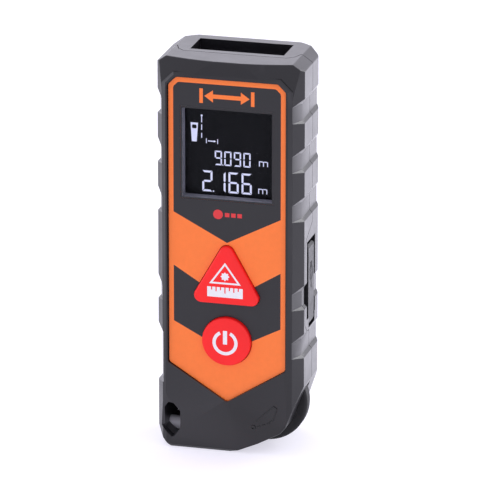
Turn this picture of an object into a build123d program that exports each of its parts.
"""Pocket laser distance meter with a built-in measuring wheel.

Millimetres. The origin is the middle of the base, +Z points along the laser
beam, +X is the user's right and the keys face -Y.
"""

import os
from math import sqrt

from build123d import *

# ---------------------------------------------------------------- driving sizes

WIDTH = 42.4
HEIGHT = 114.4
FRONT_Y = -12.8
BACK_Y = 13.6
WALL = 2.2
PARTING_Y = 0.9
SHELL_GAP = 0.22
SLIDE_GAP = 0.2

HALF_W = WIDTH / 2
INNER_FRONT = FRONT_Y + WALL
INNER_BACK = BACK_Y - WALL

# front of the case: flat ridge, then the long bevel down to the side
RIDGE_X = 17.6
RIDGE_FOOT_X = 18.8
RIDGE_FALL = 0.7
BEVEL_END_Y = -7.7
PAD_TOP = 110.7
PAD_LOW = 100.7
PAD_CORNER = 3.4
PAD_DEPTH = 4.0
BACK_BEVEL_Y = 8.3
BACK_FLAT_X = 14.6
BACK_ROUND = 7.0
BEVEL_ROUND = 2.5

# top end: its front edge bows back from the middle towards the corners
BROW_LOW = 100.0
BROW_MIDDLE_Y = FRONT_Y + 0.45
BROW_CORNER_X = 24.0
BROW_CORNER_Y = -7.6
BROW_LEAN = 16

# stepped grip sides
GRIP_PITCH = 14.3
GRIP_TOP = 104.3
GRIP_LENGTH = 7.1
GRIP_DEPTH = 0.85
GRIP_LEDGE = 0.9
GRIP_RAMP = 1.5
GRIP_SHEAR = 1.55
LOW_GRIP_STEP = 4
LOW_GRIP_RISE = 2.6
RIGHT_GRIPS = (0, 1, 2, 4, 5)
LEFT_GRIPS = (0, 1, 2, 4)
SCOOP_TOP = 35.5
SCOOP_BOTTOM = 18.4
SCOOP_DEPTH = 1.15

# keypad overlay in its recess
RECESS_DEPTH = 1.15
FILM = 0.35
PRINT = 0.1
RECESS_Y = FRONT_Y + RECESS_DEPTH
LABEL_Y = RECESS_Y - FILM
LABEL_HALF = 16.84
LABEL_TOP = 109.17
LABEL_CORNER = 2.2
LABEL_SIDE_LOW = 25.5
LABEL_TIP = 15.4
BORDER = 1.37

# display
WINDOW_HALF = 12.9
WINDOW_LOW = 74.6
WINDOW_HIGH = 100.4
WINDOW_MID = (WINDOW_LOW + WINDOW_HIGH) / 2
WINDOW_TALL = WINDOW_HIGH - WINDOW_LOW
DISPLAY_Y = -9.0
BEZEL_LIP = 0.5
BEZEL_GAP = 0.05
GLASS_INSET = 0.2
GLASS = 0.8
MODULE_HALF = 15.0
MODULE_TALL = 29.6
MODULE_THICK = 1.7
FLEX_HALF = 7.0
FLEX_THICK = 0.2
FLEX_DROP = 2.0

# keys
KEY_PROUD = 1.3
KEY_TOP_Y = LABEL_Y - KEY_PROUD
MEAS_APEX = 59.0
MEAS_BASE = 46.25
MEAS_HALF = 7.25
MEAS_ROUND = 2.1
POWER_Z = 33.0
POWER_R = 7.04
FLANGE_EXTRA = 0.9
FLANGE_FRONT = INNER_FRONT + 0.05
FLANGE_BACK = FLANGE_FRONT + 0.8
PLUNGER_BACK = -9.0
PLUNGER_R = 2.0
KEY_EDGE = 0.5
MEMBRANE_HALF = 12.5
MEMBRANE_FRONT = -8.4
MEMBRANE_LOW = 26.5
MEMBRANE_HIGH = 61.5
MEMBRANE_SHEET = 0.6
MEMBRANE_BUMP_R = 3.4
MEMBRANE_STEM_R = 1.2
DOME_FRONT = -6.05
DOME_R = 2.6
KEY_CENTRES = (50.5, POWER_Z)

# boards
BOARD_FRONT = -5.6
BOARD_BACK = -4.4
BOARD_LOW = 28.3
BOARD_HIGH = 104.0
BOARD_HALF = 17.0

BUZZER_X = -9.5
BUZZER_Z = 60.0

# case screws
SCREW_X = 15.9
SCREW_LOW = 30.5
SCREW_HIGH = 105.5
CASE_SCREWS = [(side * SCREW_X, z) for side in (-1, 1) for z in (SCREW_LOW, SCREW_HIGH)]
SCREW_R = 1.1
SCREW_HEAD_R = 1.7
SCREW_HEAD_FRONT = 6.9
SCREW_HEAD_BACK = 8.5
BOARD_SCREWS = [(side * 14.6, z) for side in (-1, 1) for z in (41.0, 68.3)]
BOARD_SCREW_R = 0.8
BOARD_SCREW_HEAD_R = 1.4
BOARD_SCREW_TIP_Y = -9.6
SCREW_TIP_Y = -7.0
SCREW_BOSS_R = 2.6
BOSS_R = 3.0
POST_R = 1.7

# top optical window
TOP_HALF = 13.5
TOP_FRONT = -1.3
TOP_BACK = 9.3
TOP_MID_Y = (TOP_FRONT + TOP_BACK) / 2
TOP_DEEP = TOP_BACK - TOP_FRONT
PANE_SEAT = 110.1
PANE_GAP = 0.15
GASKET = 0.2
PANE = 1.2
LEDGE = 1.2
POCKET_FLOOR = 107.7
POCKET_WALL = 1.3

# optics
OPTICS_LOW = 74.0
OPTICS_HIGH = 107.4
OPTICS_HALF = 13.2
OPTICS_FRONT = -2.6
OPTICS_BACK = 10.4
LASER_X = -9.4
RECEIVER_X = 3.4
LUG_FRONT = 7.4
LASER_BORE_LOW = 86.0
LASER_BORE_R = 3.3
COLLIMATOR_SEAT = 105.0
LENS_SEAT = 103.4
LENS_R = 5.2
DETECTOR_BORE_R = 2.6
OPTICS_SCREW_R = 1.0
OPTICS_SCREW_TIP_Y = 12.6
OPTICS_SCREWS = [(-10.9, 78.0), (11.1, 78.0), (11.1, 101.0)]

# measuring wheel
WHEEL_X = 8.9
WHEEL_Z = 13.4
WHEEL_R = 12.2
TYRE_INNER = 9.7
TYRE_EDGE = 0.9
HUB_BOSS_R = 3.0
WHEEL_FRONT = -3.7
WHEEL_BACK = 0.5
WELL_R = 12.9
WELL_WALL = 1.2
WELL_FRONT = -4.4
ENCODER_R = 6.2
ENCODER_BORE_R = 4.2
ENCODER_THICK = 0.6
AXLE_R = 1.5
AXLE_FRONT = -7.6
AXLE_BACK = 4.6
RUNNING_GAP = 0.05

# lanyard slot and its pin
SLOT = [
    (-18.4, 5.5),
    (-18.4, 11.5),
    (-17.1, 13.3),
    (-15.5, 13.2),
    (-13.5, 11.0),
    (-13.5, 5.85),
    (-15.5, 3.0),
]
SLOT_WALL = 1.2
SLOT_END_Y = 10.0
SLOT_EXIT_X = 17.0
LANYARD_PIN_Y = -5.0
LANYARD_PIN_Z = 4.6
LANYARD_PIN_R = 2.1
LANYARD_PIN_LENGTH = 8.6
LANYARD_PIN_COVER = 0.8

# charging port and its flap
PORT_Y = 0.6
PORT_Z = 49.5
PORT_WIDE = 8.94
PORT_THICK = 3.16
FLAP_FLOOR = 19.6
FLAP_BEVEL = (0.5, 0.9)
FLAP_FACE = 21.05
FLAP_BACK_X = 19.75
FLAP_WIDE = 6.2
FLAP_TOP = 59.8
FLAP_PIVOT_X = 19.85
FLAP_PIVOT_Z = 37.0
FLAP_BARREL_R = 1.15
FLAP_PIN_R = 0.5
NAIL_GAP = 1.7
GROOVE_FRONT = -4.8
GROOVE_BACK = 4.3
GROOVE_LOW = 38.6
GROOVE_FLOOR = 19.5
TONGUE_X = 17.0
FLAP_PIN_HALF = 5.2
PORT_DEPTH = 7.0
PORT_INNER_X = 12.4
PORT_WALL = 0.3
PORT_BACK_WALL = 1.2
PLUG_DEPTH = 1.0

# back plate
PLATE_HALF = 10.5
PLATE_LOW = 20.0
PLATE_HIGH = 60.0
PLATE_DEPTH = 0.35

# battery
CELL_LOW = 34.0
CELL_HIGH = 70.0
CELL_LEFT = -15.5
CELL_RIGHT = 8.0
CELL_FRONT = 3.2
CELL_BACK = 9.4
LEAD_R = 0.5

# lower right corner of the two shells, seen from the front: the rear one stands on a wider base
FRONT_CORNER = [(HALF_W, 19.8), (17.1, 8.6), (15.6, 6.7), (9.0, 3.1), (3.3, 0.6), (0.8, 0)]
REAR_CORNER = [(HALF_W, 19.8), (17.1, 8.6), (13.4, 3.0), (9.8, 0)]
CASE_EDGE = 0.5
SEAM = 0.4

FAR = 60.0


# ---------------------------------------------------------------- shared profiles

def wall_plane(y):
    """Plane seen from the front at depth y: local x is X, local y is Z."""
    return Plane.XZ.offset(-y)


def plan_section(inset):
    """Horizontal section of the case: ridge, front bevels, flat sides, rounded back."""
    right = [
        (RIDGE_X, FRONT_Y),
        (RIDGE_FOOT_X, FRONT_Y + RIDGE_FALL),
        (HALF_W, BEVEL_END_Y),
        (HALF_W, BACK_BEVEL_Y),
        (BACK_FLAT_X, BACK_Y),
    ]
    left = [(-x, y) for x, y in reversed(right)]
    with BuildSketch(Plane.XY) as section:
        with BuildLine():
            Polyline(*right, *left, close=True)
        make_face()
        fillet(section.vertices().group_by(Axis.Y)[-1], radius=BACK_ROUND)
        shoulders = section.vertices().filter_by_position(Axis.Y, BACK_BEVEL_Y - 0.1, BACK_BEVEL_Y + 0.1)
        fillet(shoulders, radius=BEVEL_ROUND)
        if inset:
            offset(amount=-inset, kind=Kind.INTERSECTION)
    return section.sketch


def front_outline(inset, wheel_corner):
    """Outline seen from the front; the lower right corner leaves the measuring wheel exposed."""
    corners = [
        (-18.2, HEIGHT),
        (18.2, HEIGHT),
        (HALF_W, HEIGHT - 2.1),
        *wheel_corner,
        (-16.6, 0),
        (-HALF_W, 4.6),
        (-HALF_W, HEIGHT - 2.1),
    ]
    with BuildSketch(Plane.XZ) as outline:
        with BuildLine():
            Polyline(*corners, close=True)
        make_face()
        if inset:
            offset(amount=-inset, kind=Kind.INTERSECTION)
    return outline.sketch


def side_outline(inset):
    """Outline seen from the side, with small chamfers along base and top."""
    corners = [
        (FRONT_Y, 0.9),
        (FRONT_Y + 0.8, 0),
        (BACK_Y - 1.2, 0),
        (BACK_Y, 1.2),
        (BACK_Y, HEIGHT - 1.4),
        (BACK_Y - 0.7, HEIGHT),
        (FRONT_Y + 0.5, HEIGHT),
        (FRONT_Y, HEIGHT - 4.0),
    ]
    with BuildSketch(Plane.YZ) as outline:
        with BuildLine():
            Polyline(*corners, close=True)
        make_face()
        if inset:
            offset(amount=-inset, kind=Kind.INTERSECTION)
    return outline.sketch


def case_block(inset, wheel_corner):
    """Solid case body, pulled in by inset on every side."""
    plan = plan_section(inset)
    front = front_outline(inset, wheel_corner)
    side = side_outline(inset)
    with BuildPart() as body:
        extrude(plan, amount=HEIGHT)
        extrude(front, amount=FAR, both=True, mode=Mode.INTERSECT)
        extrude(side, amount=FAR, both=True, mode=Mode.INTERSECT)
    return body.part


def frame_pad():
    """Raised frame round the top of the overlay, which stands out of the brow."""
    corners = [
        (-RIDGE_FOOT_X, PAD_LOW),
        (-RIDGE_FOOT_X, PAD_TOP - PAD_CORNER),
        (-RIDGE_FOOT_X + PAD_CORNER, PAD_TOP),
        (RIDGE_FOOT_X - PAD_CORNER, PAD_TOP),
        (RIDGE_FOOT_X, PAD_TOP - PAD_CORNER),
        (RIDGE_FOOT_X, PAD_LOW),
    ]
    with BuildPart() as pad:
        with BuildSketch(wall_plane(FRONT_Y + PAD_DEPTH)):
            with BuildLine():
                Polyline(*corners, close=True)
            make_face()
        extrude(amount=PAD_DEPTH)
        rim = pad.faces().sort_by(Axis.Y)[0].edges()
        chamfer(rim.filter_by(lambda edge: edge.center().Z > PAD_LOW + 1.0), length=RIDGE_FALL)
        add(case_block(0, FRONT_CORNER), mode=Mode.INTERSECT)
    return pad.part


def brow_cutter():
    """Removes the front of the top end so that its edge bows back towards the corners."""
    with BuildPart() as kept:
        with BuildSketch(Plane.XY.offset(HEIGHT)):
            with BuildLine():
                ThreePointArc(
                    (-BROW_CORNER_X, BROW_CORNER_Y),
                    (0, BROW_MIDDLE_Y),
                    (BROW_CORNER_X, BROW_CORNER_Y),
                )
                Polyline(
                    (BROW_CORNER_X, BROW_CORNER_Y),
                    (BROW_CORNER_X, 20.0),
                    (-BROW_CORNER_X, 20.0),
                    (-BROW_CORNER_X, BROW_CORNER_Y),
                )
            make_face()
        extrude(amount=-(HEIGHT - BROW_LOW), taper=-BROW_LEAN)
    with BuildPart() as cutter:
        with Locations((0, 0, BROW_LOW)):
            Box(FAR, FAR, HEIGHT, align=(Align.CENTER, Align.CENTER, Align.MIN))
        add(kept.part, mode=Mode.SUBTRACT)
    return cutter.part


def grip_cutter(low, high, depth):
    """Recess across the right side: ledge below, ramp above, fading out along the bevel."""
    inner = HALF_W - depth
    profile_points = [
        (inner, low + GRIP_LEDGE),
        (inner, high - GRIP_RAMP),
        (HALF_W, high),
        (HALF_W + 1, high + 1),
        (HALF_W + 1, low - 1),
        (HALF_W, low),
    ]
    with BuildSketch(wall_plane(BEVEL_END_Y + 0.1)) as profile:
        with BuildLine():
            Polyline(*profile_points, close=True)
        make_face()
    bevel_run = FRONT_Y + RIDGE_FALL - BEVEL_END_Y
    with BuildPart() as cutter:
        extrude(profile.sketch, amount=-FAR / 2)
        extrude(profile.sketch, amount=abs(bevel_run) + 0.6, dir=(-GRIP_SHEAR, bevel_run, 0))
    return cutter.part


def grip_top(step):
    """Upper end of a grip recess, counted from the top; the lowest ones sit a little closer."""
    rise = LOW_GRIP_RISE if step >= LOW_GRIP_STEP else 0
    return GRIP_TOP - GRIP_PITCH * step + rise


def grip_cutters():
    """All the side recesses, with the longer finger scoop low on the left."""
    with BuildPart() as cutters:
        for step in RIGHT_GRIPS:
            high = grip_top(step)
            add(grip_cutter(high - GRIP_LENGTH, high, GRIP_DEPTH))
        for step in LEFT_GRIPS:
            high = grip_top(step)
            add(mirror(grip_cutter(high - GRIP_LENGTH, high, GRIP_DEPTH), about=Plane.YZ))
        add(mirror(grip_cutter(SCOOP_BOTTOM, SCOOP_TOP, SCOOP_DEPTH), about=Plane.YZ))
    return cutters.part


def label_outline(shrink):
    """Outline of the overlay: clipped top corners and a V along the bottom."""
    half = LABEL_HALF - shrink
    top = LABEL_TOP - shrink
    corner = LABEL_CORNER - shrink * (2 - sqrt(2))
    points = [
        (-half, LABEL_SIDE_LOW),
        (-half, top - corner),
        (-half + corner, top),
        (half - corner, top),
        (half, top - corner),
        (half, LABEL_SIDE_LOW),
        (0, LABEL_TIP - 0.5),
    ]
    with BuildSketch(Plane.XZ) as outline:
        with BuildLine():
            Polyline(*points, close=True)
        make_face()
        fillet(outline.vertices(), radius=1.1)
    return outline.sketch


def meas_outline(grow):
    """Rounded triangle of the measuring key."""
    with BuildSketch(Plane.XZ) as outline:
        with BuildLine():
            Polyline((-MEAS_HALF, MEAS_BASE), (MEAS_HALF, MEAS_BASE), (0, MEAS_APEX), close=True)
        make_face()
        offset(amount=MEAS_ROUND + grow, kind=Kind.ARC)
    return outline.sketch


def power_outline(grow):
    """Circle of the power key."""
    with BuildSketch(Plane.XZ) as outline:
        with Locations((0, POWER_Z)):
            Circle(POWER_R + grow)
    return outline.sketch


def slot_outline(grow):
    """Lanyard slot, a tall six-sided opening."""
    with BuildSketch(Plane.XZ) as outline:
        with BuildLine():
            Polyline(*SLOT, close=True)
        make_face()
        fillet(outline.vertices(), radius=0.5)
        if grow:
            offset(amount=grow, kind=Kind.ARC)
    return outline.sketch


def window_outline(grow):
    """Display opening."""
    with BuildSketch(Plane.XZ) as outline:
        with Locations((0, WINDOW_MID)):
            Rectangle(2 * (WINDOW_HALF + grow), WINDOW_TALL + 2 * grow)
    return outline.sketch


def module_outline():
    """Glass outline of the display module."""
    with BuildSketch(Plane.XZ) as outline:
        with Locations((0, WINDOW_MID)):
            Rectangle(2 * MODULE_HALF, MODULE_TALL)
    return outline.sketch


def chevron(half, high_side, high_tip, low_side, low_tip):
    """Band between two V lines."""
    points = [
        (-half, high_side),
        (0, high_tip),
        (half, high_side),
        (half, low_side),
        (0, low_tip),
        (-half, low_side),
    ]
    with BuildSketch(Plane.XZ) as band:
        with BuildLine():
            Polyline(*points, close=True)
        make_face()
    return band.sketch


def slab(outline, y_front, y_back, mode=Mode.ADD):
    """Solid between two depths, from an outline drawn in the XZ plane."""
    extrude(Pos(0, y_back, 0) * outline, amount=y_back - y_front, mode=mode)


def block(low, high, mode=Mode.ADD):
    """Box from its lowest to its highest corner."""
    size = [b - a for a, b in zip(low, high)]
    with Locations(low):
        Box(*size, align=(Align.MIN, Align.MIN, Align.MIN), mode=mode)


def bar(x, z, radius, y_front, y_back, mode=Mode.ADD):
    """Round bar along Y."""
    with BuildSketch(wall_plane(y_back)) as end:
        with Locations((x, z)):
            Circle(radius)
    extrude(end.sketch, amount=y_back - y_front, mode=mode)


def cup(x, y, z, radius, height, mode=Mode.ADD):
    """Round bar standing along Z."""
    with BuildSketch(Plane.XY.offset(z)) as end:
        with Locations((x, y)):
            Circle(radius)
    extrude(end.sketch, amount=height, mode=mode)


def save(piece, name):
    """Label a finished piece and write its STEP file."""
    piece.part.label = name
    export_step(piece.part, f"parts/{name}.step")


os.makedirs("parts", exist_ok=True)


# ---------------------------------------------------------------- shared cutters

def front_zone(gap):
    """Space that belongs to the front shell, grown by gap to find the rear shell's share."""
    edge = PARTING_Y + gap
    with BuildPart() as top_tongue:
        with BuildSketch(Plane.XY.offset(POCKET_FLOOR)):
            with BuildLine():
                Polyline(
                    (-17.9, edge + 1),
                    (-17.9, PARTING_Y),
                    (-16.8, -2.0),
                    (-14.8, -3.7),
                    (14.8, -3.7),
                    (16.8, -2.0),
                    (17.9, PARTING_Y),
                    (17.9, edge + 1),
                    close=True,
                )
            make_face()
            if gap:
                offset(amount=-gap, kind=Kind.INTERSECTION)
        extrude(amount=HEIGHT)
    with BuildPart() as port_tongue:
        with BuildSketch(Plane.YZ.offset(TONGUE_X)):
            with BuildLine():
                Polyline(
                    (edge + 1, 66.6),
                    (PARTING_Y, 66.0),
                    (-5.2, 62.8),
                    (-7.0, 60.6),
                    (-7.0, 37.8),
                    (-4.8, 35.2),
                    (PARTING_Y, 33.6),
                    (edge + 1, 33.2),
                    close=True,
                )
            make_face()
            if gap:
                offset(amount=-gap, kind=Kind.INTERSECTION)
        extrude(amount=FAR)
    with BuildPart() as zone:
        block((-FAR, -FAR, -1), (FAR, edge, HEIGHT + 1))
        add(top_tongue.part, mode=Mode.SUBTRACT)
        add(port_tongue.part, mode=Mode.SUBTRACT)
    return zone.part


def facet_cutter():
    """Slanted facet that leads the lower left corner into the lanyard slot."""
    region = [
        (-24, 18.5),
        (-17.7, 16.4),
        (-14.0, 11.5),
        (-14.0, 5.8),
        (-16.0, 3.0),
        (-18.8, 5.6),
        (-24, 5.6),
    ]
    facet_plane = Plane(
        origin=(-17.7, FRONT_Y, 16.4),
        x_dir=(3.75, 0, -4.9),
        z_dir=(-0.205, -1, -0.157),
    )
    with BuildPart() as cutter:
        with BuildSketch(wall_plane(0)):
            with BuildLine():
                Polyline(*region, close=True)
            make_face()
        extrude(amount=FAR)
        with BuildSketch(facet_plane):
            Rectangle(FAR, FAR)
        extrude(amount=FAR, mode=Mode.INTERSECT)
    return cutter.part


# ---------------------------------------------------------------- case shells

front_space = front_zone(0)
front_space_grown = front_zone(SHELL_GAP)
brow = brow_cutter()
grips = grip_cutters()
facet = facet_cutter()
REAR_FACE_Y = PARTING_Y + SHELL_GAP

with BuildPart() as lanyard_bar:
    with BuildSketch(Plane.YZ.offset(-HALF_W)):
        with Locations((LANYARD_PIN_Y, LANYARD_PIN_Z)):
            Circle(LANYARD_PIN_R)
    extrude(amount=LANYARD_PIN_LENGTH)
    add(case_block(LANYARD_PIN_COVER, FRONT_CORNER), mode=Mode.INTERSECT)


def outer_case(wheel_corner):
    """Outside of the case with rounded edges, grip steps and the facet above the lanyard slot."""
    with BuildPart() as case:
        add(case_block(0, wheel_corner))
        add(brow, mode=Mode.SUBTRACT)
        fillet(case.edges(), radius=CASE_EDGE)
        add(frame_pad())
        add(grips, mode=Mode.SUBTRACT)
        add(facet, mode=Mode.SUBTRACT)
    return case.part


with BuildPart() as slot_tube:
    slab(slot_outline(SLOT_WALL), FRONT_Y + 0.5, SLOT_END_Y + SLOT_WALL)

with BuildPart() as well_shell:
    bar(WHEEL_X, WHEEL_Z, WELL_R + WELL_WALL, WELL_FRONT - WELL_WALL, REAR_FACE_Y + WELL_WALL)

with BuildPart() as front_inside:
    add(slot_tube.part)
    add(well_shell.part)
    bar(WHEEL_X, WHEEL_Z, BOSS_R, FRONT_Y, WELL_FRONT)
    for x, z in CASE_SCREWS:
        bar(x, z, BOSS_R - 0.6, FRONT_Y, REAR_FACE_Y)
    for x, z in BOARD_SCREWS:
        bar(x, z, POST_R, FRONT_Y, BOARD_FRONT)
    add(case_block(WALL - SEAM, FRONT_CORNER), mode=Mode.INTERSECT)

with BuildPart() as front_housing:
    add(outer_case(FRONT_CORNER))
    add(case_block(WALL, FRONT_CORNER), mode=Mode.SUBTRACT)
    add(front_inside.part)
    add(front_space, mode=Mode.INTERSECT)
    for x, z in CASE_SCREWS:
        bar(x, z, BOSS_R - 0.6, PARTING_Y, REAR_FACE_Y)
    slab(label_outline(-0.3), FRONT_Y - 1, RECESS_Y, mode=Mode.SUBTRACT)
    slab(slot_outline(0), FRONT_Y - 1, SLOT_END_Y, mode=Mode.SUBTRACT)
    bar(WHEEL_X, WHEEL_Z, WELL_R, WELL_FRONT, REAR_FACE_Y, mode=Mode.SUBTRACT)
    bar(WHEEL_X, WHEEL_Z, AXLE_R, AXLE_FRONT, AXLE_BACK, mode=Mode.SUBTRACT)
    add(lanyard_bar.part, mode=Mode.SUBTRACT)
    for x, z in CASE_SCREWS:
        bar(x, z, SCREW_R, SCREW_TIP_Y, REAR_FACE_Y, mode=Mode.SUBTRACT)
    for x, z in BOARD_SCREWS:
        bar(x, z, BOARD_SCREW_R, BOARD_SCREW_TIP_Y, BOARD_FRONT, mode=Mode.SUBTRACT)
    slab(meas_outline(SLIDE_GAP), FRONT_Y - 1, INNER_FRONT, mode=Mode.SUBTRACT)
    slab(power_outline(SLIDE_GAP), FRONT_Y - 1, INNER_FRONT, mode=Mode.SUBTRACT)
    slab(window_outline(BEZEL_LIP + BEZEL_GAP), FRONT_Y - 1, INNER_FRONT, mode=Mode.SUBTRACT)
save(front_housing, "front_housing")

flap_side_front = PORT_Y - FLAP_WIDE / 2 - SLIDE_GAP
flap_side_back = PORT_Y + FLAP_WIDE / 2 + SLIDE_GAP
flap_low = FLAP_PIVOT_Z - FLAP_BARREL_R - SLIDE_GAP

with BuildPart() as rear_inside:
    add(slot_tube.part)
    add(well_shell.part)
    bar(WHEEL_X, WHEEL_Z, BOSS_R, REAR_FACE_Y, AXLE_BACK + 1)
    for x, z in CASE_SCREWS:
        bar(x, z, SCREW_BOSS_R, REAR_FACE_Y, BACK_Y)
    for x, z in OPTICS_SCREWS:
        bar(x, z, BOSS_R - 0.6, OPTICS_BACK, BACK_Y)
    block(
        (-TOP_HALF - POCKET_WALL, TOP_FRONT - POCKET_WALL, POCKET_FLOOR),
        (TOP_HALF + POCKET_WALL, BACK_Y, HEIGHT),
    )
    block((TONGUE_X + 0.5, -6.8, 34.0), (HALF_W, 6.6, 65.0))
    add(case_block(WALL - SEAM, REAR_CORNER), mode=Mode.INTERSECT)

with BuildPart() as rear_housing:
    add(outer_case(REAR_CORNER))
    add(case_block(WALL, REAR_CORNER), mode=Mode.SUBTRACT)
    add(rear_inside.part)
    add(front_space_grown, mode=Mode.SUBTRACT)
    slab(slot_outline(0), FRONT_Y - 1, SLOT_END_Y, mode=Mode.SUBTRACT)
    block((-FAR, 2.6, 3.4), (-SLOT_EXIT_X, 8.6, 10.6), mode=Mode.SUBTRACT)
    bar(WHEEL_X, WHEEL_Z, AXLE_R, AXLE_FRONT, AXLE_BACK, mode=Mode.SUBTRACT)
    block((-TOP_HALF, TOP_FRONT, PANE_SEAT), (TOP_HALF, TOP_BACK, FAR + HEIGHT), mode=Mode.SUBTRACT)
    block(
        (-TOP_HALF + LEDGE, TOP_FRONT + LEDGE, POCKET_FLOOR - 1),
        (TOP_HALF - LEDGE, TOP_BACK - LEDGE, PANE_SEAT),
        mode=Mode.SUBTRACT,
    )
    block((FLAP_FLOOR, flap_side_front, flap_low), (FAR, flap_side_back, GROOVE_LOW), mode=Mode.SUBTRACT)
    bar(
        FLAP_PIVOT_X,
        FLAP_PIVOT_Z,
        FLAP_BARREL_R + SLIDE_GAP,
        flap_side_front,
        flap_side_back,
        mode=Mode.SUBTRACT,
    )
    bar(
        FLAP_PIVOT_X,
        FLAP_PIVOT_Z,
        FLAP_PIN_R,
        PORT_Y - FLAP_PIN_HALF,
        PORT_Y + FLAP_PIN_HALF,
        mode=Mode.SUBTRACT,
    )
    block(
        (GROOVE_FLOOR, GROOVE_FRONT, GROOVE_LOW),
        (FAR, GROOVE_BACK, FLAP_TOP + NAIL_GAP),
        mode=Mode.SUBTRACT,
    )
    block(
        (TONGUE_X - 1, PORT_Y - PORT_THICK / 2 - SLIDE_GAP, PORT_Z - PORT_WIDE / 2 - SLIDE_GAP),
        (FAR, PORT_Y + PORT_THICK / 2 + SLIDE_GAP, PORT_Z + PORT_WIDE / 2 + SLIDE_GAP),
        mode=Mode.SUBTRACT,
    )
    block(
        (-PLATE_HALF, BACK_Y - PLATE_DEPTH, PLATE_LOW),
        (PLATE_HALF, FAR, PLATE_HIGH),
        mode=Mode.SUBTRACT,
    )
    for x, z in CASE_SCREWS:
        bar(x, z, SCREW_R + SLIDE_GAP, REAR_FACE_Y, SCREW_HEAD_FRONT, mode=Mode.SUBTRACT)
        bar(x, z, SCREW_HEAD_R + SLIDE_GAP, SCREW_HEAD_FRONT, FAR, mode=Mode.SUBTRACT)
    for x, z in OPTICS_SCREWS:
        bar(x, z, OPTICS_SCREW_R, OPTICS_BACK, OPTICS_SCREW_TIP_Y, mode=Mode.SUBTRACT)
save(rear_housing, "rear_housing")


# ---------------------------------------------------------------- overlay and display window

PRINT_HALF = LABEL_HALF - BORDER
UPPER_SIDE = 69.9
UPPER_TIP = 61.9
V_SLOPE = (UPPER_SIDE - UPPER_TIP) / PRINT_HALF

with BuildSketch(Plane.XZ) as upper_field:
    add(label_outline(BORDER))
    with BuildLine():
        Polyline(
            (0, UPPER_TIP),
            (FAR, UPPER_TIP + V_SLOPE * FAR),
            (FAR, 0),
            (-FAR, 0),
            (-FAR, UPPER_TIP + V_SLOPE * FAR),
            close=True,
        )
    make_face(mode=Mode.SUBTRACT)

with BuildPart() as overlay_openings:
    slab(meas_outline(SLIDE_GAP), FRONT_Y, RECESS_Y)
    slab(power_outline(SLIDE_GAP), FRONT_Y, RECESS_Y)
    slab(window_outline(BEZEL_LIP + BEZEL_GAP), FRONT_Y, RECESS_Y)

with BuildPart() as overlay_print:
    slab(upper_field.sketch, LABEL_Y, LABEL_Y + PRINT)
    slab(chevron(PRINT_HALF, 54.2, 44.7, 37.7, 29.7), LABEL_Y, LABEL_Y + PRINT)
    add(overlay_openings.part, mode=Mode.SUBTRACT)
save(overlay_print, "overlay_print")

with BuildPart() as overlay_film:
    slab(label_outline(0), LABEL_Y, RECESS_Y)
    add(overlay_openings.part, mode=Mode.SUBTRACT)
    add(overlay_print.part, mode=Mode.SUBTRACT)
save(overlay_film, "overlay_film")

with BuildPart() as display_window:
    slab(window_outline(-BEZEL_GAP), LABEL_Y + GLASS_INSET, LABEL_Y + GLASS_INSET + GLASS)
save(display_window, "display_window")

with BuildPart() as display_bezel:
    slab(module_outline(), INNER_FRONT, DISPLAY_Y)
    slab(window_outline(BEZEL_LIP), LABEL_Y + 0.05, INNER_FRONT)
    slab(window_outline(0), FRONT_Y, DISPLAY_Y, mode=Mode.SUBTRACT)
save(display_bezel, "display_bezel")


# ---------------------------------------------------------------- display stack

with BuildPart() as display_module:
    slab(module_outline(), DISPLAY_Y, DISPLAY_Y + MODULE_THICK)
    fillet(display_module.edges().filter_by(Axis.Y), radius=0.4)
save(display_module, "display_module")

with BuildPart() as display_backlight:
    slab(module_outline(), DISPLAY_Y + MODULE_THICK, BOARD_FRONT)
    chamfer(display_backlight.faces().sort_by(Axis.Y)[-1].edges(), length=0.4)
save(display_backlight, "display_backlight")

module_low = WINDOW_MID - MODULE_TALL / 2
flex_front = DISPLAY_Y + 0.5
flex_low = module_low - FLEX_DROP
with BuildPart() as display_flex:
    with BuildSketch(Plane.YZ.offset(-FLEX_HALF)):
        with BuildLine():
            Polyline(
                (flex_front, module_low),
                (flex_front, flex_low),
                (BOARD_FRONT, flex_low),
                (BOARD_FRONT, flex_low + FLEX_THICK),
                (flex_front + FLEX_THICK, flex_low + FLEX_THICK),
                (flex_front + FLEX_THICK, module_low),
                close=True,
            )
        make_face()
    extrude(amount=2 * FLEX_HALF)
save(display_flex, "display_flex")


# ---------------------------------------------------------------- keys

def key(outline, centre_z):
    """Key cap with a retaining flange and a plunger behind it."""
    with BuildPart() as cap:
        slab(outline(0), KEY_TOP_Y, FLANGE_FRONT)
        fillet(cap.faces().sort_by(Axis.Y)[0].edges(), radius=KEY_EDGE)
        slab(outline(FLANGE_EXTRA), FLANGE_FRONT, FLANGE_BACK)
        bar(0, centre_z, PLUNGER_R, FLANGE_BACK, PLUNGER_BACK)
    return cap


meas_key = key(meas_outline, KEY_CENTRES[0])
save(meas_key, "meas_key")

power_key = key(power_outline, KEY_CENTRES[1])
save(power_key, "power_key")

membrane_back = MEMBRANE_FRONT + MEMBRANE_SHEET
with BuildPart() as key_membrane:
    block(
        (-MEMBRANE_HALF, MEMBRANE_FRONT, MEMBRANE_LOW),
        (MEMBRANE_HALF, membrane_back, MEMBRANE_HIGH),
    )
    fillet(key_membrane.edges().filter_by(Axis.Y), radius=2.0)
    for z in KEY_CENTRES:
        bar(0, z, MEMBRANE_BUMP_R, membrane_back, membrane_back + 0.4)
        bar(0, z, MEMBRANE_STEM_R, membrane_back, DOME_FRONT - 0.1)
save(key_membrane, "key_membrane")

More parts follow.
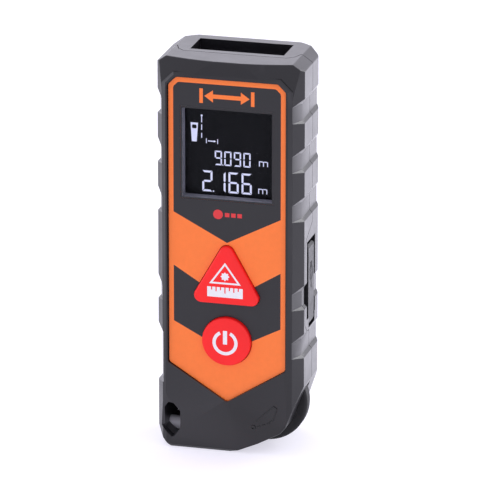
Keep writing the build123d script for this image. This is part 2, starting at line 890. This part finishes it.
with BuildPart() as dome_switches:
    for z in KEY_CENTRES:
        with BuildSketch(Plane.YZ) as dome:
            with BuildLine():
                ThreePointArc(
                    (DOME_FRONT, z),
                    (DOME_FRONT + 0.12, z + DOME_R / 2),
                    (BOARD_FRONT, z + DOME_R),
                )
                Line((BOARD_FRONT, z + DOME_R), (BOARD_FRONT, z))
                Line((BOARD_FRONT, z), (DOME_FRONT, z))
            make_face()
        revolve(axis=Axis((0, 0, z), (0, 1, 0)))
save(dome_switches, "dome_switches")


# ---------------------------------------------------------------- boards

with BuildPart() as main_board:
    block((-BOARD_HALF, BOARD_FRONT, BOARD_LOW), (BOARD_HALF, BOARD_BACK, BOARD_HIGH))
    for x, z in CASE_SCREWS:
        bar(x, z, BOSS_R, BOARD_FRONT, BOARD_BACK, mode=Mode.SUBTRACT)
    for side in (-1, 1):
        with Locations((side * BOARD_HALF, BOARD_FRONT, BOARD_LOW)):
            Box(8.0, 10.0, 8.0, mode=Mode.SUBTRACT)
    for x, z in BOARD_SCREWS:
        bar(x, z, BOARD_SCREW_R + 0.1, BOARD_FRONT, BOARD_BACK, mode=Mode.SUBTRACT)
save(main_board, "main_board")


def board_box(x, z, wide, tall, thick):
    """Component on the back of the main board."""
    block((x - wide / 2, BOARD_BACK, z - tall / 2), (x + wide / 2, BOARD_BACK + thick, z + tall / 2))


CHIPS = [
    (-2.0, 52.0, 7.0, 7.0, 0.9),
    (-11.5, 50.0, 5.0, 4.0, 0.9),
    (6.0, 62.5, 3.0, 3.0, 0.8),
    (6.0, 45.0, 3.2, 1.6, 0.7),
    (-12.0, 36.5, 5.0, 5.0, 1.0),
    (2.0, 38.0, 4.0, 3.0, 0.9),
    (-1.5, 64.5, 9.0, 2.2, 1.2),
]

with BuildPart() as board_chips:
    for chip in CHIPS:
        board_box(*chip)
save(board_chips, "board_chips")

with BuildPart() as board_screws:
    for x, z in BOARD_SCREWS:
        bar(x, z, BOARD_SCREW_R, BOARD_SCREW_TIP_Y, BOARD_BACK)
        bar(x, z, BOARD_SCREW_HEAD_R, BOARD_BACK, BOARD_BACK + 1.0)
        bar(x, z, 0.45, BOARD_BACK + 0.5, BOARD_BACK + 1.0, mode=Mode.SUBTRACT)
save(board_screws, "board_screws")

with BuildPart() as buzzer:
    bar(BUZZER_X, BUZZER_Z, 4.5, BOARD_BACK, BOARD_BACK + 2.0)
    fillet(buzzer.faces().sort_by(Axis.Y)[-1].edges(), radius=0.4)
    bar(BUZZER_X, BUZZER_Z, 0.8, BOARD_BACK + 1.0, BOARD_BACK + 2.0, mode=Mode.SUBTRACT)
save(buzzer, "buzzer")


# ---------------------------------------------------------------- optics

OPTICS_MID_Y = (OPTICS_FRONT + OPTICS_BACK) / 2

with BuildPart() as optics_chassis:
    block((-OPTICS_HALF, OPTICS_FRONT, OPTICS_LOW), (OPTICS_HALF, OPTICS_BACK, OPTICS_HIGH))
    block(
        (-FAR, OPTICS_FRONT - 1, OPTICS_LOW - 1),
        (-8.4, LUG_FRONT, LASER_BORE_LOW - 2.0),
        mode=Mode.SUBTRACT,
    )
    block((9.2, OPTICS_FRONT - 1, OPTICS_LOW - 1), (FAR, LUG_FRONT, FAR * 2), mode=Mode.SUBTRACT)
    cup(LASER_X, OPTICS_MID_Y, LASER_BORE_LOW, LASER_BORE_R, FAR, mode=Mode.SUBTRACT)
    cup(RECEIVER_X, OPTICS_MID_Y, OPTICS_LOW, DETECTOR_BORE_R, 4.0, mode=Mode.SUBTRACT)
    with BuildSketch(Plane.XY.offset(OPTICS_LOW + 4.0)):
        with Locations((RECEIVER_X, OPTICS_MID_Y)):
            Circle(DETECTOR_BORE_R)
    with BuildSketch(Plane.XY.offset(LENS_SEAT)):
        with Locations((RECEIVER_X, OPTICS_MID_Y)):
            Circle(LENS_R - 0.4)
    loft(mode=Mode.SUBTRACT)
    cup(RECEIVER_X, OPTICS_MID_Y, LENS_SEAT, LENS_R + RUNNING_GAP, FAR, mode=Mode.SUBTRACT)
    for x, z in OPTICS_SCREWS:
        bar(x, z, OPTICS_SCREW_R + 0.1, OPTICS_FRONT, OPTICS_BACK, mode=Mode.SUBTRACT)
save(optics_chassis, "optics_chassis")


def turned(x, points):
    """Body of revolution about an upright axis at x, from (radius, z) points."""
    with BuildPart() as body:
        with BuildSketch(Plane.XZ.offset(-OPTICS_MID_Y)):
            with BuildLine():
                Polyline(*[(x + r, z) for r, z in points], close=True)
            make_face()
        revolve(axis=Axis((x, OPTICS_MID_Y, 0), (0, 0, 1)))
    return body


laser_back = LASER_BORE_LOW + 1.0
laser_module = turned(
    LASER_X,
    [
        (0, laser_back),
        (2.4, laser_back),
        (2.4, laser_back + 3.0),
        (LASER_BORE_R - RUNNING_GAP, laser_back + 3.0),
        (LASER_BORE_R - RUNNING_GAP, COLLIMATOR_SEAT + 1.6),
        (2.5, COLLIMATOR_SEAT + 1.6),
        (2.5, COLLIMATOR_SEAT),
        (0, COLLIMATOR_SEAT),
    ],
)
save(laser_module, "laser_module")


def lens(x, seat, radius, edge, dome):
    """Flat-backed lens whose front is part of a sphere."""
    sphere_r = (radius**2 + dome**2) / (2 * dome)
    with BuildPart() as glass:
        cup(x, OPTICS_MID_Y, seat, radius, edge + dome)
        with Locations((x, OPTICS_MID_Y, seat + edge + dome - sphere_r)):
            Sphere(sphere_r, mode=Mode.INTERSECT)
    return glass


collimator_lens = lens(LASER_X, COLLIMATOR_SEAT, 2.45, 0.7, 0.7)
save(collimator_lens, "collimator_lens")

receiving_lens = lens(RECEIVER_X, LENS_SEAT, LENS_R, 1.2, 1.8)
save(receiving_lens, "receiving_lens")

filter_disc = turned(
    RECEIVER_X,
    [
        (0, OPTICS_LOW + 2.6),
        (DETECTOR_BORE_R - RUNNING_GAP, OPTICS_LOW + 2.6),
        (DETECTOR_BORE_R - RUNNING_GAP, OPTICS_LOW + 3.4),
        (0, OPTICS_LOW + 3.4),
    ],
)
save(filter_disc, "receiver_filter")

with BuildPart() as photodiode_board:
    block(
        (RECEIVER_X - 7.0, OPTICS_FRONT + 0.8, OPTICS_LOW - 1.4),
        (RECEIVER_X + 5.6, OPTICS_BACK - 0.8, OPTICS_LOW),
    )
    cup(RECEIVER_X, OPTICS_MID_Y, OPTICS_LOW, DETECTOR_BORE_R - 0.4, 2.2)
save(photodiode_board, "photodiode_board")

with BuildPart() as optics_screws:
    for x, z in OPTICS_SCREWS:
        bar(x, z, OPTICS_SCREW_R, LUG_FRONT, OPTICS_SCREW_TIP_Y)
        bar(x, z, 1.8, LUG_FRONT - 1.2, LUG_FRONT)
        bar(x, z, 0.6, LUG_FRONT - 1.2, LUG_FRONT - 0.5, mode=Mode.SUBTRACT)
save(optics_screws, "optics_screws")

with BuildPart() as window_gasket:
    with BuildSketch(Plane.XY.offset(PANE_SEAT)):
        with Locations((0, TOP_MID_Y)):
            Rectangle(2 * (TOP_HALF - PANE_GAP), TOP_DEEP - 2 * PANE_GAP)
            Rectangle(2 * (TOP_HALF - LEDGE), TOP_DEEP - 2 * LEDGE, mode=Mode.SUBTRACT)
    extrude(amount=GASKET)
save(window_gasket, "window_gasket")

with BuildPart() as top_window:
    with BuildSketch(Plane.XY.offset(PANE_SEAT + GASKET)):
        with Locations((0, TOP_MID_Y)):
            Rectangle(2 * (TOP_HALF - PANE_GAP), TOP_DEEP - 2 * PANE_GAP)
    extrude(amount=PANE)
    chamfer(top_window.faces().sort_by(Axis.Z)[-1].edges(), length=0.15)
save(top_window, "top_window")


# ---------------------------------------------------------------- battery

with BuildPart() as battery_cell:
    with BuildSketch(Plane.XY.offset(CELL_LOW)):
        with Locations(((CELL_LEFT + CELL_RIGHT) / 2, (CELL_FRONT + CELL_BACK) / 2)):
            RectangleRounded(CELL_RIGHT - CELL_LEFT, CELL_BACK - CELL_FRONT, 2.4)
    extrude(amount=CELL_HIGH - CELL_LOW)
    chamfer(battery_cell.faces().sort_by(Axis.Z)[-1].edges(), length=0.5)
save(battery_cell, "battery_cell")

with BuildPart() as battery_pad:
    block((CELL_LEFT + 6, CELL_BACK, CELL_LOW + 4), (CELL_RIGHT - 2, INNER_BACK, CELL_HIGH - 4))
save(battery_pad, "battery_pad")


def cell_lead(x):
    """Insulated wire from the end of the cell down to the board."""
    with BuildPart() as lead:
        with BuildLine(Plane.YZ.offset(x)) as path:
            FilletPolyline(
                (6.3, CELL_HIGH),
                (6.3, CELL_HIGH + 1.3),
                (-2.0, CELL_HIGH + 1.3),
                (-2.0, CELL_HIGH - 2.0),
                (BOARD_BACK, CELL_HIGH - 2.0),
                radius=0.9,
            )
        with BuildSketch(Plane(origin=path.line @ 0, z_dir=path.line % 0)):
            Circle(LEAD_R)
        sweep()
    return lead.part


with BuildPart() as battery_leads:
    for x in (-9.0, -7.2):
        add(cell_lead(x))
save(battery_leads, "battery_leads")


# ---------------------------------------------------------------- charging port and flap

port_front = PORT_Y - PORT_THICK / 2

with BuildPart() as charging_board:
    block((10.2, port_front - 1.0, PORT_Z - 6.5), (TONGUE_X + 0.3, port_front, PORT_Z + 6.5))
    block((10.6, BOARD_BACK, PORT_Z - 5.5), (PORT_INNER_X, port_front - 1.0, PORT_Z + 5.5))
save(charging_board, "charging_board")

with BuildPart() as charging_socket:
    with BuildSketch(Plane.YZ.offset(PORT_INNER_X)):
        with Locations((PORT_Y, PORT_Z)):
            SlotOverall(PORT_WIDE, PORT_THICK, rotation=90)
    extrude(amount=PORT_DEPTH)
    with BuildSketch(Plane.YZ.offset(PORT_INNER_X + PORT_BACK_WALL)):
        with Locations((PORT_Y, PORT_Z)):
            SlotOverall(PORT_WIDE - 2 * PORT_WALL, PORT_THICK - 2 * PORT_WALL, rotation=90)
    extrude(amount=PORT_DEPTH, mode=Mode.SUBTRACT)
    with BuildSketch(Plane.YZ.offset(PORT_INNER_X + 1.0)):
        with Locations((PORT_Y, PORT_Z)):
            Rectangle(0.7, 6.6)
    extrude(amount=PORT_DEPTH - 2.0)
save(charging_socket, "charging_socket")

with BuildPart() as port_flap:
    with BuildSketch(Plane.XZ.offset(-PORT_Y)):
        with BuildLine():
            Polyline(
                (FLAP_BACK_X, FLAP_PIVOT_Z),
                (FLAP_BACK_X, FLAP_TOP),
                (FLAP_FACE - FLAP_BEVEL[0], FLAP_TOP),
                (FLAP_FACE, FLAP_TOP - FLAP_BEVEL[1]),
                (FLAP_FACE, FLAP_PIVOT_Z),
                close=True,
            )
        make_face()
        with Locations((FLAP_PIVOT_X, FLAP_PIVOT_Z)):
            Circle(FLAP_BARREL_R)
    extrude(amount=FLAP_WIDE / 2, both=True)
    fillet(port_flap.edges().filter_by(Axis.X).group_by(Axis.Z)[-1], radius=1.2)
    with BuildSketch(Plane.YZ.offset(FLAP_BACK_X - PLUG_DEPTH)):
        with Locations((PORT_Y, PORT_Z)):
            SlotOverall(PORT_WIDE - 1.4, PORT_THICK - 1.2, rotation=90)
            Rectangle(0.9, 6.9, mode=Mode.SUBTRACT)
    extrude(amount=PLUG_DEPTH)
    bar(FLAP_PIVOT_X, FLAP_PIVOT_Z, FLAP_PIN_R + RUNNING_GAP, -FAR, FAR, mode=Mode.SUBTRACT)
save(port_flap, "port_flap")

with BuildPart() as flap_pin:
    bar(FLAP_PIVOT_X, FLAP_PIVOT_Z, FLAP_PIN_R, PORT_Y - FLAP_PIN_HALF, PORT_Y + FLAP_PIN_HALF)
save(flap_pin, "flap_pin")


# ---------------------------------------------------------------- measuring wheel

with BuildPart() as wheel_tyre:
    bar(WHEEL_X, WHEEL_Z, WHEEL_R, WHEEL_FRONT, WHEEL_BACK)
    fillet(wheel_tyre.edges().filter_by(GeomType.CIRCLE), radius=TYRE_EDGE)
    bar(WHEEL_X, WHEEL_Z, TYRE_INNER, WHEEL_FRONT, WHEEL_BACK, mode=Mode.SUBTRACT)
save(wheel_tyre, "wheel_tyre")

with BuildPart() as wheel_hub:
    bar(WHEEL_X, WHEEL_Z, TYRE_INNER, WHEEL_FRONT + 0.3, WHEEL_BACK - 0.3)
    bar(WHEEL_X, WHEEL_Z, TYRE_INNER - 1.8, -1.0, WHEEL_BACK, mode=Mode.SUBTRACT)
    bar(WHEEL_X, WHEEL_Z, HUB_BOSS_R, WELL_FRONT + RUNNING_GAP, REAR_FACE_Y - RUNNING_GAP)
    bar(WHEEL_X, WHEEL_Z, AXLE_R + RUNNING_GAP, -FAR, FAR, mode=Mode.SUBTRACT)
save(wheel_hub, "wheel_hub")

with BuildPart() as wheel_axle:
    bar(WHEEL_X, WHEEL_Z, AXLE_R, AXLE_FRONT, AXLE_BACK)
    chamfer(wheel_axle.edges().filter_by(GeomType.CIRCLE), length=0.2)
save(wheel_axle, "wheel_axle")

hub_face = WHEEL_FRONT + 0.3
with BuildPart() as encoder_ring:
    bar(WHEEL_X, WHEEL_Z, ENCODER_R, hub_face - ENCODER_THICK, hub_face)
    bar(WHEEL_X, WHEEL_Z, ENCODER_BORE_R, hub_face - ENCODER_THICK, hub_face, mode=Mode.SUBTRACT)
save(encoder_ring, "encoder_ring")

sensor_back = WELL_FRONT - WELL_WALL
sensor_front = sensor_back - 0.8
with BuildPart() as encoder_sensor:
    block((WHEEL_X - 3.5, sensor_front, WHEEL_Z + 3.6), (WHEEL_X + 3.5, sensor_back, WHEEL_Z + 10.0))
    block(
        (WHEEL_X - 1.5, sensor_front - 0.9, WHEEL_Z + 4.2),
        (WHEEL_X + 1.5, sensor_front, WHEEL_Z + 7.2),
    )
    block(
        (WHEEL_X - 2.0, sensor_back - 0.2, WHEEL_Z + 10.0),
        (WHEEL_X + 2.0, sensor_back, BOARD_LOW + 1.5),
    )
save(encoder_sensor, "encoder_sensor")


# ---------------------------------------------------------------- fasteners and small fixed pieces

with BuildPart() as housing_screws:
    for x, z in CASE_SCREWS:
        bar(x, z, SCREW_R, SCREW_TIP_Y, SCREW_HEAD_FRONT)
        bar(x, z, SCREW_HEAD_R, SCREW_HEAD_FRONT, SCREW_HEAD_BACK)
        with BuildSketch(wall_plane(SCREW_HEAD_BACK)):
            with Locations((x, z)):
                Rectangle(1.9, 0.5)
                Rectangle(0.5, 1.9)
        extrude(amount=0.8, mode=Mode.SUBTRACT)
save(housing_screws, "housing_screws")

with BuildPart() as rating_plate:
    block(
        (-PLATE_HALF + 0.15, BACK_Y - PLATE_DEPTH, PLATE_LOW + 0.15),
        (PLATE_HALF - 0.15, BACK_Y - 0.1, PLATE_HIGH - 0.15),
    )
    fillet(rating_plate.edges().filter_by(Axis.Y), radius=0.9)
save(rating_plate, "rating_plate")

save(lanyard_bar, "lanyard_pin")
